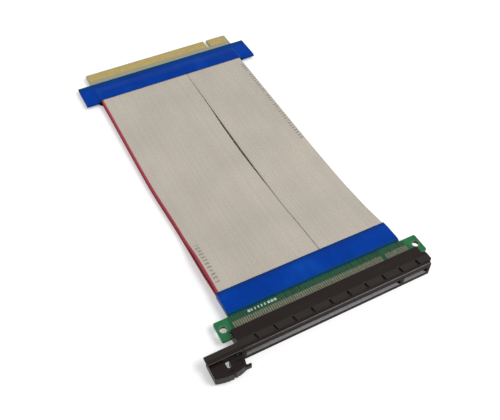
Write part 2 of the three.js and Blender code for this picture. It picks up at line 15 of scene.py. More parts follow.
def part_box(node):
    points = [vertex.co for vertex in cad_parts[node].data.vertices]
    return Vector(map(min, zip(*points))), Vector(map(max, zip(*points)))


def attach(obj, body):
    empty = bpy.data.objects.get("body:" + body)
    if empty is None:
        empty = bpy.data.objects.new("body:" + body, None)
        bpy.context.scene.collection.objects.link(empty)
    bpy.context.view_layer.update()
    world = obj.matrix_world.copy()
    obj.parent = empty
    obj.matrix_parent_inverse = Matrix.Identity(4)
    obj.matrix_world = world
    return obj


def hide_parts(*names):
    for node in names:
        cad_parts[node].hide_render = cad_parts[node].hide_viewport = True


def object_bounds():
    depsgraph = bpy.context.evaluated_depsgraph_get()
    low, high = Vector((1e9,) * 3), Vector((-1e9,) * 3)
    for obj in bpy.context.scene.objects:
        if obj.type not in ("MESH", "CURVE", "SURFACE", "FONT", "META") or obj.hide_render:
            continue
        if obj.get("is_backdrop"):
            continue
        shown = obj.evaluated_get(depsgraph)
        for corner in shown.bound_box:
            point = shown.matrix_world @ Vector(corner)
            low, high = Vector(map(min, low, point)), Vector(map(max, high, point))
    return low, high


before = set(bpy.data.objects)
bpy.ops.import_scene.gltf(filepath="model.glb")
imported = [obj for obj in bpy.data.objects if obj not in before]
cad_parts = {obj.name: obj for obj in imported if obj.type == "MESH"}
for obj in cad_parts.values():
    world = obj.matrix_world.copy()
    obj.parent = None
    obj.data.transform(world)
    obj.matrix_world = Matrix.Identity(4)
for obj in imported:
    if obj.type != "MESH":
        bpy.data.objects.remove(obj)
cad_low, cad_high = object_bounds()

MM = 0.001

# Contact rows
CONTACT_SPAN = 83.0
KEY_X = 30.0
SHORT_ROW = 11
LONG_ROW = 71
KEY_SPAN = 3.0

# Slot housing and latch
HOUSING_HALF = 44.5
MOUTH_Y = -10.6
MID_Z = 3.75
RIM_BACK = -8.7
RIM_HALF = 3.75
PANEL_HALF = 3.4
RIM_ROUND = 0.9
LOWER_RIM_ROUND = 0.25
PANEL_SLOPE = 0.3
PANEL_CREASE = -5.2
NOTCH_DEPTH, NOTCH_LENGTH = 0.95, 2.9
NOTCH_MOUTH_HALF, NOTCH_TIP_HALF = 0.95, 0.35
CHANNEL_HALF = 0.875
CHANNEL_END = 42.8
CHANNEL_FLOOR = -2.2
LEAD_HEIGHT = 0.62
CELL_HALF = 2.05
CELL_FRONT = -9.3
CELL_BACK = -3.9
CELL_WIDTH = 0.64
EAR_TIP = -59.0
EAR_FRONT, EAR_BACK = -10.3, -6.2
UPPER_EAR_BOTTOM, UPPER_EAR_TOP = 6.2, 7.5
LOWER_EAR_FRONT, LOWER_EAR_TOP = -8.6, 1.3
PIVOT_X, PIVOT_Y = -55.6, -7.6
PIVOT_HOLE_RADIUS, TRUNNION_RADIUS = 1.1, 0.8
LATCH_BOTTOM, LATCH_TOP = 1.6, 5.9
LATCH_GAP, LATCH_DEPTH = 0.3, 5.6
HUB_RADIUS = 1.7
FINGER_ARM, FINGER_RADIUS, FINGER_DEPTH = 5.8, 0.9, 3.0

# Boards
SLOT_BOARD_BOTTOM, SLOT_BOARD_TOP = 2.95, 4.55
EDGE_BOARD_BOTTOM, EDGE_BOARD_TOP = 1.15, 2.75
EDGE_START, EDGE_SHOULDER, EDGE_TIP = 159.0, 172.9, 183.25
EDGE_DRIFT = -1.0
CARD_EDGE_HALF = 42.6
EDGE_BOARD_HALF = 49.5
SLOT_BOARD_HALF, SLOT_BOARD_FRONT, SLOT_BOARD_BACK = 49.0, -2.2, 6.9
TONGUE_LEFT, TONGUE_RIGHT, TONGUE_END = -42.05, 41.05, 12.0
SCREW_HOLE_X, SCREW_HOLE_Y, SCREW_HOLE_RADIUS = 46.4, 2.6, 1.5

# Ribbons and film
RIBBON_HALF = 0.4
RIBBON_GROOVE = 0.26
RIBBON_STEP = 2.0
SLIT_CLOSING = 0.35
FILM_OFFSET = 0.2
FILM_THICKNESS = 0.08
SLOT_FILM_FRONT, SLOT_FILM_BACK = 7.2, 18.6
EDGE_FILM_FRONT, EDGE_FILM_BACK = 157.7, 173.2

housing_low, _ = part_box("slot_housing")
ORIGIN = np.array([housing_low.x - EAR_TIP * MM, housing_low.y - MOUTH_Y * MM, 0.0])


def smoothstep(low, high, value):
    t = min(1.0, max(0.0, (value - low) / (high - low)))
    return t * t * (3 - 2 * t)


def contact_centres():
    first = CONTACT_SPAN / 2
    short_row = [first - i for i in range(SHORT_ROW)]
    long_row = [KEY_X - KEY_SPAN / 2 - i for i in range(LONG_ROW)]
    return short_row + long_row


CONTACTS = contact_centres()


# Materials


def new_material(name):
    material = bpy.data.materials.new(name)
    material.use_nodes = True
    tree = material.node_tree
    shader = tree.nodes["Principled BSDF"]
    return material, tree, shader


def node(tree, kind, **values):
    made = tree.nodes.new(kind)
    for key, value in values.items():
        if key in made.inputs:
            made.inputs[key].default_value = value
        else:
            setattr(made, key, value)
    return made


def srgb(red, green, blue):
    def linear(level):
        level /= 255
        return level / 12.92 if level <= 0.04045 else ((level + 0.055) / 1.055) ** 2.4

    return (linear(red), linear(green), linear(blue), 1.0)


def object_coordinates(tree):
    return tree.nodes.new("ShaderNodeTexCoord").outputs["Object"]


def noise_value(tree, scale, detail=4.0, roughness=0.55, stretch=None):
    source = object_coordinates(tree)
    if stretch:
        mapping = node(tree, "ShaderNodeMapping")
        mapping.inputs["Scale"].default_value = stretch
        tree.links.new(source, mapping.inputs["Vector"])
        source = mapping.outputs["Vector"]
    texture = tree.nodes.new("ShaderNodeTexNoise")
    texture.inputs["Scale"].default_value = scale
    texture.inputs["Detail"].default_value = detail
    texture.inputs["Roughness"].default_value = roughness
    tree.links.new(source, texture.inputs["Vector"])
    return texture.outputs["Fac"]


def ramp(tree, value, stops):
    made = tree.nodes.new("ShaderNodeValToRGB")
    elements = made.color_ramp.elements
    while len(elements) < len(stops):
        elements.new(0.5)
    for element, (place, colour) in zip(elements, stops):
        element.position = place
        element.color = colour
    tree.links.new(value, made.inputs["Fac"])
    return made.outputs["Color"]


def mix_colour(tree, factor, first, second, blend="MIX"):
    made = tree.nodes.new("ShaderNodeMix")
    made.data_type = "RGBA"
    made.blend_type = blend
    for value, socket in ((factor, made.inputs[0]), (first, made.inputs[6]), (second, made.inputs[7])):
        if isinstance(value, (float, tuple)):
            socket.default_value = value
        else:
            tree.links.new(value, socket)
    return made.outputs[2]


def math_node(tree, operation, first, second=0.0, third=0.0):
    made = tree.nodes.new("ShaderNodeMath")
    made.operation = operation
    for value, socket in zip((first, second, third), made.inputs):
        if isinstance(value, (int, float)):
            socket.default_value = value
        else:
            tree.links.new(value, socket)
    return made.outputs[0]


def bump(tree, shader, height, strength, distance):
    made = tree.nodes.new("ShaderNodeBump")
    made.inputs["Strength"].default_value = strength
    made.inputs["Distance"].default_value = distance
    tree.links.new(height, made.inputs["Height"])
    tree.links.new(made.outputs["Normal"], shader.inputs["Normal"])


def rough_from(tree, shader, value, low, high):
    made = tree.nodes.new("ShaderNodeMapRange")
    made.inputs["To Min"].default_value = low
    made.inputs["To Max"].default_value = high
    tree.links.new(value, made.inputs["Value"])
    tree.links.new(made.outputs["Result"], shader.inputs["Roughness"])


def band(tree, value, low, high, soft):
    """1 between low and high, in metres, with soft borders."""
    rise = math_node(tree, "MULTIPLY_ADD", value, 1 / soft, -low / soft)
    fall = math_node(tree, "MULTIPLY_ADD", value, -1 / soft, high / soft)
    rise = math_node(tree, "SMOOTH_MIN", rise, 1.0, 0.1)
    fall = math_node(tree, "SMOOTH_MIN", fall, 1.0, 0.1)
    both = math_node(tree, "MINIMUM", rise, fall)
    return math_node(tree, "MAXIMUM", both, 0.0)


def insulation_material(name, base, shade, print_band=None):
    """Grey PVC: slow mottling, a slight change of tone between conductors, and printed dashes."""
    material, tree, shader = new_material(name)
    place = tree.nodes.new("ShaderNodeSeparateXYZ")
    tree.links.new(object_coordinates(tree), place.inputs[0])
    mottle = noise_value(tree, 38.0, 4.0, 0.5)
    colour = ramp(tree, mottle, [(0.3, shade), (0.7, base)])
    conductor = math_node(tree, "FLOOR", math_node(tree, "MULTIPLY", place.outputs["X"], 1 / (1.0 * MM)))
    tone = tree.nodes.new("ShaderNodeTexWhiteNoise")
    tone.noise_dimensions = "1D"
    tree.links.new(conductor, tone.inputs["W"])
    tint = ramp(tree, tone.outputs["Value"], [(0.0, (0.955, 0.95, 0.945, 1)), (1.0, (1, 1, 1, 1))])
    colour = mix_colour(tree, 1.0, colour, tint, "MULTIPLY")
    if print_band:
        left, right, start, end = print_band
        across = band(tree, place.outputs["X"], left, right, 0.12 * MM)
        along = band(tree, place.outputs["Y"], start, end, 0.3 * MM)
        beat = math_node(tree, "FRACT", math_node(tree, "MULTIPLY", place.outputs["Y"], 1 / (2.0 * MM)))
        dash = math_node(tree, "LESS_THAN", beat, 0.5)
        wear = math_node(tree, "GREATER_THAN", noise_value(tree, 700.0, 2.0), 0.42)
        ink = math_node(tree, "MULTIPLY", across, along)
        ink = math_node(tree, "MULTIPLY", math_node(tree, "MULTIPLY", ink, dash), wear)
        ink = math_node(tree, "MULTIPLY", ink, 0.62)
        colour = mix_colour(tree, ink, colour, srgb(112, 108, 102))
    tree.links.new(colour, shader.inputs["Base Color"])
    rough_from(tree, shader, noise_value(tree, 420.0, 3.0), 0.5, 0.66)
    shader.inputs["Specular IOR Level"].default_value = 0.32
    bump(tree, shader, noise_value(tree, 1500.0, 3.0, 0.6, (1.0, 0.25, 1.0)), 0.12, 0.02 * MM)
    return material


def film_material(name, over_board, direction, edge, gloss):
    """Blue film: cloudy on the wires, finely creased, teal over the board, and darkened by painted shade
    towards its free edge.
    """
    material, tree, shader = new_material(name)
    place = tree.nodes.new("ShaderNodeSeparateXYZ")
    tree.links.new(object_coordinates(tree), place.inputs[0])
    cloud = noise_value(tree, 70.0, 4.0, 0.6, (1.0, 0.7, 1.0))
    deep = ramp(tree, cloud, [(0.3, srgb(2, 50, 140)), (0.55, srgb(3, 60, 158)), (0.8, srgb(14, 74, 170))])
    scuff = noise_value(tree, 900.0, 3.0, 0.6, (0.25, 1.0, 1.0))
    worn = math_node(tree, "MULTIPLY", math_node(tree, "GREATER_THAN", scuff, 0.7), 0.08)
    deep = mix_colour(tree, worn, deep, srgb(60, 110, 200))
    beyond = math_node(tree, "SUBTRACT", place.outputs["Y"], over_board)
    beyond = math_node(tree, "MULTIPLY", beyond, direction)
    ragged = math_node(tree, "MULTIPLY_ADD", noise_value(tree, 300.0, 3.0), 0.8 * MM, beyond)
    share = math_node(tree, "MULTIPLY", ragged, 1 / (1.6 * MM))
    over = node(tree, "ShaderNodeClamp")
    tree.links.new(share, over.inputs["Value"])
    colour = mix_colour(tree, math_node(tree, "MULTIPLY", over.outputs[0], 0.75), deep, srgb(8, 64, 92))
    # Painted shade: over the last 3.4 mm before the edge line the film is darkened.
    from_edge = math_node(tree, "SUBTRACT", place.outputs["Y"], edge)
    from_edge = math_node(tree, "MULTIPLY", from_edge, -direction)
    border = node(tree, "ShaderNodeMapRange")
    border.inputs["From Min"].default_value = -3.4 * MM
    border.inputs["From Max"].default_value = 0.0
    tree.links.new(from_edge, border.inputs["Value"])
    painted_edge_shade = math_node(tree, "MULTIPLY", math_node(tree, "POWER", border.outputs["Result"], 1.6), 0.85)
    colour = mix_colour(tree, painted_edge_shade, colour, srgb(14, 42, 92))
    tree.links.new(colour, shader.inputs["Base Color"])
    rough_from(tree, shader, noise_value(tree, 160.0, 3.0), 0.3, 0.46)
    shader.inputs["Specular IOR Level"].default_value = gloss
    shader.inputs["Specular Tint"].default_value = (0.35, 0.6, 1.0, 1.0)
    bump(tree, shader, noise_value(tree, 260.0, 5.0, 0.55, (0.5, 1.4, 1.0)), 0.35, 0.06 * MM)
    return material


def board_material(name, bare_from=None, dense_and_shaded_area=None):
    """Solder mask with buried traces, darkened over an area partly for its dense traces and partly by painted
    shade, tinged blue towards the far end of that area, and bare beyond a line.
    """
    material, tree, shader = new_material(name)
    place = tree.nodes.new("ShaderNodeSeparateXYZ")
    tree.links.new(object_coordinates(tree), place.inputs[0])
    cloud = noise_value(tree, 160.0, 4.0)
    mask = ramp(tree, cloud, [(0.3, srgb(8, 88, 50)), (0.7, srgb(18, 110, 62))])
    lane = math_node(tree, "FRACT", math_node(tree, "MULTIPLY", place.outputs["X"], 1 / (1.0 * MM)))
    trace = math_node(tree, "LESS_THAN", lane, 0.45)
    broken = math_node(tree, "GREATER_THAN", noise_value(tree, 220.0, 1.0, 0.5, (4.0, 0.4, 1.0)), 0.46)
    trace = math_node(tree, "MULTIPLY", trace, broken)
    if dense_and_shaded_area:
        left, right, start, end = dense_and_shaded_area
        across = band(tree, place.outputs["X"], left, right, 1.2 * MM)
        along = band(tree, place.outputs["Y"], start, end, 0.5 * MM)
        # The darkening stands partly for dense traces and partly for painted shade between the housing and
        # the film.
        dense_and_shade = math_node(tree, "MULTIPLY", math_node(tree, "MULTIPLY", across, along), 0.85)
        mask = mix_colour(tree, dense_and_shade, mask, srgb(10, 46, 30))
        tinge = band(tree, place.outputs["Y"], end - 2.4 * MM, end, 2.4 * MM)
        mask = mix_colour(tree, math_node(tree, "MULTIPLY", tinge, 0.7), mask, srgb(8, 58, 96))
    colour = mix_colour(tree, math_node(tree, "MULTIPLY", trace, 0.3), mask, srgb(44, 130, 78))
    height = math_node(tree, "ADD", math_node(tree, "MULTIPLY", trace, 0.8), cloud)
    if bare_from is not None:
        weave = noise_value(tree, 1400.0, 2.0, 0.5)
        laminate = ramp(tree, weave, [(0.3, srgb(138, 138, 114)), (0.7, srgb(166, 164, 140))])
        bare = math_node(tree, "GREATER_THAN", place.outputs["Y"], bare_from)
        colour = mix_colour(tree, bare, colour, laminate)
    tree.links.new(colour, shader.inputs["Base Color"])
    rough_from(tree, shader, noise_value(tree, 300.0, 3.0), 0.26, 0.42)
    shader.inputs["Specular IOR Level"].default_value = 0.3
    bump(tree, shader, height, 0.25, 0.03 * MM)
    return material


def moulding_material(name, shades, gloss, rough_low, rough_high, painted_light_band=None):
    """Glass-filled plastic: near black with a brown cast, flow marks along X and a sparkle of fibre; a given
    band in Y is painted lighter, as painted light.
    """
    material, tree, shader = new_material(name)
    flow = noise_value(tree, 120.0, 4.0, 0.55, (0.2, 1.0, 1.0))
    stops = [(place, srgb(*shade)) for place, shade in zip((0.3, 0.55, 0.8), shades)]
    colour = ramp(tree, flow, stops)
    fibre = math_node(tree, "GREATER_THAN", noise_value(tree, 5200.0, 1.0, 0.5, (1.0, 0.3, 1.0)), 0.72)
    colour = mix_colour(tree, math_node(tree, "MULTIPLY", fibre, 0.15), colour, srgb(96, 90, 84))
    # Painted light: the band is painted lighter, as if it caught more light.
    if painted_light_band:
        place = tree.nodes.new("ShaderNodeSeparateXYZ")
        tree.links.new(object_coordinates(tree), place.inputs[0])
        painted_light = band(tree, place.outputs["Y"], *painted_light_band, 0.5 * MM)
        colour = mix_colour(tree, math_node(tree, "MULTIPLY", painted_light, 0.8), colour, srgb(44, 40, 36))
    tree.links.new(colour, shader.inputs["Base Color"])
    rough_from(tree, shader, noise_value(tree, 500.0, 3.0), rough_low, rough_high)
    shader.inputs["Specular IOR Level"].default_value = gloss
    bump(tree, shader, noise_value(tree, 2600.0, 3.0, 0.6), 0.2, 0.02 * MM)
    return material


def metal_material(name, dark, light, rough_low, rough_high, scale=900.0):
    """Plated metal with rolling marks and small stains."""
    material, tree, shader = new_material(name)
    stain = noise_value(tree, scale, 4.0, 0.6)
    tree.links.new(ramp(tree, stain, [(0.3, dark), (0.7, light)]), shader.inputs["Base Color"])
    shader.inputs["Metallic"].default_value = 1.0
    rough_from(tree, shader, noise_value(tree, scale * 2.2, 3.0), rough_low, rough_high)
    bump(tree, shader, noise_value(tree, 5000.0, 2.0, 0.5, (1.0, 0.15, 1.0)), 0.12, 0.01 * MM)
    return material


def ink_material():
    material, tree, shader = new_material("white_ink")
    patchy = noise_value(tree, 2400.0, 3.0)
    colour = ramp(tree, patchy, [(0.3, srgb(150, 176, 176)), (0.6, srgb(188, 206, 204))])
    tree.links.new(colour, shader.inputs["Base Color"])
    rough_from(tree, shader, patchy, 0.5, 0.7)
    bump(tree, shader, patchy, 0.2, 0.01 * MM)
    return material


def row_band(left, right, start, end):
    """A band of the drawing frame in metres, for a material's object coordinates."""
    return (row_x(left), row_x(right), row_y(start), row_y(end))


def row_x(x):
    return x * MM + ORIGIN[0]


def row_y(y):
    return y * MM + ORIGIN[1]


GREY_LIGHT, GREY_SHADE = srgb(197, 189, 176), srgb(187, 179, 167)
WIDE_PRINT, NARROW_PRINT = row_band(-39.9, -37.7, 23, 46), row_band(37.0, 39.0, 84, 152)
GREY_WIDE = insulation_material("grey_insulation_wide", GREY_LIGHT, GREY_SHADE, WIDE_PRINT)
GREY_NARROW = insulation_material("grey_insulation_narrow", GREY_LIGHT, GREY_SHADE, NARROW_PRINT)
RED_EDGE = insulation_material("red_insulation", srgb(176, 62, 78), srgb(160, 50, 66))
SLOT_FILM = film_material("slot_blue_film", row_y(8.6), -1.0, row_y(SLOT_FILM_BACK), 0.1)
EDGE_FILM = film_material("edge_blue_film", row_y(170.6), 1.0, row_y(EDGE_FILM_FRONT - 1.8), 0.03)
# The dark area of the slot board is partly painted shade.
SLOT_MASK = board_material("slot_board_mask", dense_and_shaded_area=row_band(-43.5, 43.0, 0.5, 9.0))
EDGE_MASK = board_material("edge_board_mask", bare_from=row_y(173.4))
# Painted light: the front half of the housing's top panel is painted lighter.
PAINTED_LIGHT_BAND = (row_y(-8.8), row_y(-5.3))
BLACKS = [(24, 15, 14), (29, 20, 18), (36, 27, 24)]
MOULDING = moulding_material("black_moulding", BLACKS, 0.16, 0.3, 0.44)
HOUSING_TOP = moulding_material("black_moulding_panel", BLACKS, 0.16, 0.3, 0.44, PAINTED_LIGHT_BAND)
POLISHED = moulding_material("black_moulding_polished", BLACKS, 0.36, 0.24, 0.34)
FRONT = moulding_material("black_moulding_front", BLACKS, 0.05, 0.36, 0.48)
GOLD = metal_material("gold_plate", srgb(176, 148, 74), srgb(206, 180, 98), 0.3, 0.45)
TIN = metal_material("tin_plate", srgb(100, 96, 82), srgb(134, 130, 112), 0.36, 0.52)
SOLDER = metal_material("solder", srgb(92, 94, 82), srgb(128, 130, 114), 0.3, 0.46, 600.0)
SPRING = metal_material("spring_plate", srgb(66, 64, 58), srgb(88, 86, 78), 0.5, 0.62)
INK = ink_material()


# Meshes


def to_row(points):
    return np.asarray(points, float).reshape(-1, 3) * MM + ORIGIN


def make_object(name, points, faces, materials, smooth_angle=38.0, indices=None):
    mesh = bpy.data.meshes.new(name)
    mesh.from_pydata(to_row(points).tolist(), [], faces)
    for material in materials:
        mesh.materials.append(material)
    if indices is not None:
        mesh.polygons.foreach_set("material_index", indices)
    mesh.validate()
    shade(mesh, smooth_angle)
    made = bpy.data.objects.new(name, mesh)
    bpy.context.scene.collection.objects.link(made)
    return made


def shade(mesh, angle):
    mesh.polygons.foreach_set("use_smooth", [True] * len(mesh.polygons))
    mesh.set_sharp_from_angle(angle=math.radians(angle))
    mesh.update()


def face_outwards(made):
    edit = bmesh.new()
    edit.from_mesh(made.data)
    bmesh.ops.recalc_face_normals(edit, faces=edit.faces)
    edit.to_mesh(made.data)
    edit.free()


def dress(made, body, stands_for=()):
    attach(made, body)
    if stands_for:
        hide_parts(*stands_for)
    return made


def bevel(made, width, segments=3, angle=32.0):
    modifier = made.modifiers.new("bevel", "BEVEL")
    modifier.width = width * MM
    modifier.segments = segments
    modifier.limit_method = "ANGLE"
    modifier.angle_limit = math.radians(angle)
    modifier.miter_outer = "MITER_ARC"
    modifier.harden_normals = True
    return made


def weigh_normals(made):
    """Flat faces keep flat shading beside small roundings."""
    modifier = made.modifiers.new("weighted", "WEIGHTED_NORMAL")
    modifier.mode = "FACE_AREA"
    modifier.weight = 100
    modifier.keep_sharp = True
    return made


def cut_or_join(made, tool, operation):
    """Exact boolean of two objects, applied; the tool is removed."""
    modifier = made.modifiers.new("boolean", "BOOLEAN")
    modifier.operation = operation
    modifier.solver = "EXACT"
    modifier.object = tool
    bpy.context.view_layer.update()
    graph = bpy.context.evaluated_depsgraph_get()
    mesh = bpy.data.meshes.new_from_object(made.evaluated_get(graph))
    made.modifiers.clear()
    made.data = mesh
    bpy.data.objects.remove(tool)
    return made


def rectangle(left, right, front, back):
    return [(left, front), (right, front), (right, back), (left, back)]


def prism(name, outline, low, high, material, axis="Z"):
    """Solid from an outline in XY (axis Z) or YZ (axis X)."""
    count = len(outline)
    if axis == "Z":
        points = [(a, b, z) for z in (low, high) for a, b in outline]
    else:
        points = [(x, a, b) for x in (low, high) for a, b in outline]
    faces = [list(range(count)), list(range(2 * count - 1, count - 1, -1))]
    faces += [(i, count + i, count + (i + 1) % count, (i + 1) % count) for i in range(count)]
    made = make_object(name, points, faces, [material])
    face_outwards(made)
    return made


def cylinder(name, x, y, radius, low, high, material, sides=40):
    turns = [2 * math.pi * i / sides for i in range(sides)]
    outline = [(x + radius * math.cos(t), y + radius * math.sin(t)) for t in turns]
    return prism(name, outline, low, high, material)


def arc(x, y, radius, start, end, steps):
    turns = [math.radians(start + (end - start) * i / steps) for i in range(steps + 1)]
    return [(x + radius * math.cos(t), y + radius * math.sin(t)) for t in turns]


def merge_parts(parts):
    """Several (points, faces) as one."""
    points, faces = [], []
    for part_points, part_faces in parts:
        base = len(points)
        points.extend(part_points)
        faces.extend([tuple(base + i for i in face) for face in part_faces])
    return points, faces


def skin(rings, caps=True):
    """Closed rings of equal length joined into a tube, with a flat cap at each end."""
    size = len(rings[0])
    points = [p for ring in rings for p in ring]
    faces = []
    for s in range(len(rings) - 1):
        near, far = s * size, (s + 1) * size
        faces += [(near + i, near + (i + 1) % size, far + (i + 1) % size, far + i) for i in range(size)]
    if caps:
        last = (len(rings) - 1) * size
        faces.append(tuple(reversed(range(size))))
        faces.append(tuple(last + i for i in range(size)))
    return points, faces


def monotone(places, values):
    """Smooth curve through the values that never passes beyond them."""
    x, y = np.array(places, float), np.array(values, float)
    step = np.diff(x)
    slope = np.diff(y) / step
    tangent = np.zeros(len(x))
    for i in range(1, len(x) - 1):
        if slope[i - 1] * slope[i] > 0:
            a, b = 2 * step[i] + step[i - 1], step[i] + 2 * step[i - 1]
            tangent[i] = (a + b) / (a / slope[i - 1] + b / slope[i])

    def at(place):
        i = int(np.clip(np.searchsorted(x, place) - 1, 0, len(step) - 1))
        t = (place - x[i]) / step[i]
        start = (1 + 2 * t) * (1 - t) ** 2 * y[i] + t * (1 - t) ** 2 * step[i] * tangent[i]
        return start + t * t * (3 - 2 * t) * y[i + 1] + t * t * (t - 1) * step[i] * tangent[i + 1]

    return at


# Ribbons


class Route:
    """Edges and heights of one CAD ribbon along Y."""

    def __init__(self, node_name, is_upper):
        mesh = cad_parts[node_name].data
        flat = np.empty(len(mesh.vertices) * 3)
        mesh.vertices.foreach_get("co", flat)
        spots = (flat.reshape(-1, 3) - ORIGIN) / MM
        self.places = sorted(set(np.round(spots[:, 1], 2)))
        rows = {key: [] for key in ("left", "right", "height_left", "height_right")}
        for y in self.places:
            ring = spots[np.abs(spots[:, 1] - y) < 0.02]
            left, right = ring[:, 0].min(), ring[:, 0].max()
            rows["left"].append(left)
            rows["right"].append(right)
            for side, x in (("height_left", left), ("height_right", right)):
                heights = ring[np.abs(ring[:, 0] - x) < 0.02][:, 2]
                rows[side].append(heights.min() + RIBBON_HALF if is_upper else heights.max() - RIBBON_HALF)
        self.curves = {key: monotone(self.places, values) for key, values in rows.items()}

    def edges(self, y):
        return self.curves["left"](y), self.curves["right"](y)

    def height(self, x, y):
        left, right = self.edges(y)
        share = (x - left) / (right - left)
        return self.curves["height_left"](y) * (1 - share) + self.curves["height_right"](y) * share


def ridge_columns(conductors):
    """Offset from the left edge and half thickness, five columns to a conductor."""
    columns = []
    for i in range(conductors):
        for k in range(5):
            outer_side = (i == 0 and k < 3) or (i == conductors - 1 and k > 2)
            groove = 0.05 if outer_side else RIBBON_GROOVE
            arch = math.sin(math.pi * k / 5) ** 0.6
            columns.append((i + k / 5, groove + (RIBBON_HALF - groove) * arch))
    return columns + [(float(conductors), 0.05)]


def make_ribbon(name, node_name, is_upper, conductors, grey):
    route = ROUTES[node_name]
    is_wide = conductors > 40
    columns = ridge_columns(conductors)
    start, end = route.places[0], route.places[-1]
    places = np.linspace(start, end, int((end - start) / RIBBON_STEP) + 1)
    rings = []
    for y in places:
        left, _ = route.edges(y)
        fan = 1 + (SLIT_CLOSING * smoothstep(108.0, 128.0, y) / conductors if is_wide else 0.0)
        spots = [left + dx * fan for dx, _ in columns]
        upper = [(x, y, route.height(x, y) + half) for x, (_, half) in zip(spots, columns)]
        lower = [(x, y, route.height(x, y) - half) for x, (_, half) in zip(spots, columns)]
        rings.append(lower + upper[::-1])
    points, faces = skin(rings, caps=False)
    count, size = len(columns), 2 * len(columns)
    last = (len(rings) - 1) * size
    for i in range(count - 1):
        faces.append((i, size - 1 - i, size - 2 - i, i + 1))
        faces.append((last + i, last + i + 1, last + size - 2 - i, last + size - 1 - i))
    ring_face = lambda f: f % size if f < (len(rings) - 1) * size else size // 2 + 3
    red = [1 if min(ring_face(f), size - 2 - ring_face(f)) < 5 else 0 for f in range(len(faces))]
    indices = red if is_wide else [0] * len(faces)
    materials = [grey, RED_EDGE] if is_wide else [grey]
    made = make_object(name, points, faces, materials, 60.0, indices)
    face_outwards(made)
    return dress(made, "cable", [node_name])


ROUTES = {
    name: Route(name, "upper" in name)
    for name in ("ribbon_upper_wide", "ribbon_upper_narrow", "ribbon_lower_wide", "ribbon_lower_narrow")
}
make_ribbon("upper_wide_ribbon", "ribbon_upper_wide", True, 49, GREY_WIDE)
make_ribbon("upper_narrow_ribbon", "ribbon_upper_narrow", True, 33, GREY_NARROW)
make_ribbon("lower_wide_ribbon", "ribbon_lower_wide", False, 49, GREY_WIDE)
make_ribbon("lower_narrow_ribbon", "ribbon_lower_narrow", False, 33, GREY_NARROW)


# Film sleeves


def film_wrinkle(x, y, seed):
    long_fold = noise.noise(Vector((x * 0.07 + seed, y * 0.45, seed)))
    fine = noise.noise(Vector((x * 0.5, y * 0.9 + seed, 3.1 * seed)))
    return 0.055 * long_fold + 0.025 * fine


def film_shell(name, ring_at, places, thickness, material):
    """A sleeve: outer and inner skins with a rim at both ends. ring_at(y, inset) gives one closed ring."""
    outer = [ring_at(y, 0.0) for y in places]
    inner = [ring_at(y, thickness) for y in places]
    outer_points, outer_faces = skin(outer, caps=False)
    inner_points, inner_faces = skin(inner, caps=False)
    size, base = len(outer[0]), len(outer_points)
    points = outer_points + inner_points
    faces = list(outer_faces) + [tuple(base + i for i in reversed(face)) for face in inner_faces]
    for row in (0, (len(places) - 1) * size):
        for i in range(size):
            k = (i + 1) % size
            faces.append((row + i, row + k, base + row + k, base + row + i))
    made = make_object(name, points, faces, [material], 50.0)
    face_outwards(made)
    return made


def slot_film_ring(y, inset):
    upper_wide, upper_narrow = ROUTES["ribbon_upper_wide"], ROUTES["ribbon_upper_narrow"]
    lower = ROUTES["ribbon_lower_wide"]
    left = upper_wide.edges(y)[0] - 0.12
    right = upper_narrow.edges(y)[1] + 0.12
    reach = FILM_OFFSET - inset

    onto_board = 0.9 * RIBBON_HALF * 2 * (1 - smoothstep(SLOT_FILM_FRONT, 7.85, y))

    def top(x):
        route = upper_wide if x < upper_wide.edges(y)[1] else upper_narrow
        rib = 0.035 * math.sin(math.pi * (x - left - 0.12)) ** 2 * smoothstep(8.5, 9.5, y)
        return route.height(x, y) + RIBBON_HALF + reach + rib - onto_board + film_wrinkle(x, y, 1.7)

    def bottom(x):
        level = lower.height(min(x, lower.edges(y)[1]), y)
        return level - RIBBON_HALF - reach + onto_board + film_wrinkle(x, y, 5.3) * 0.7

    return sleeve_ring(y, left, right, reach, top, bottom, 170)


def sleeve_ring(y, left, right, reach, top, bottom, columns):
    """Ring with rounded edges; top and bottom give the height of the skin at an X."""
    spots = np.linspace(left, right, columns)
    under = [(x, y, bottom(x)) for x in spots]
    over = [(x, y, top(x)) for x in spots[::-1]]
    sides = []
    for x, low, high, turn in ((right, bottom(right), top(right), 1), (left, top(left), bottom(left), -1)):
        corner = []
        for t in (25, 50, 72):
            a = math.radians(t)
            corner.append((reach * 0.9 * math.sin(a), reach * 1.2 * (1 - math.cos(a))))
        first = [(x + turn * dx, y, low + turn * dz) for dx, dz in corner]
        second = [(x + turn * dx, y, high - turn * dz) for dx, dz in corner][::-1]
        middle = (x + turn * reach, y, (low + high) / 2)
        sides.append(first + [middle] + second)
    return under + sides[0] + over + sides[1]


slot_places = np.concatenate([np.linspace(SLOT_FILM_FRONT, 8.0, 6), np.linspace(8.4, SLOT_FILM_BACK, 34)])
slot_film = film_shell("slot_film_sleeve", slot_film_ring, slot_places, FILM_THICKNESS, SLOT_FILM)
dress(slot_film, "cable", ["slot_wrap"])


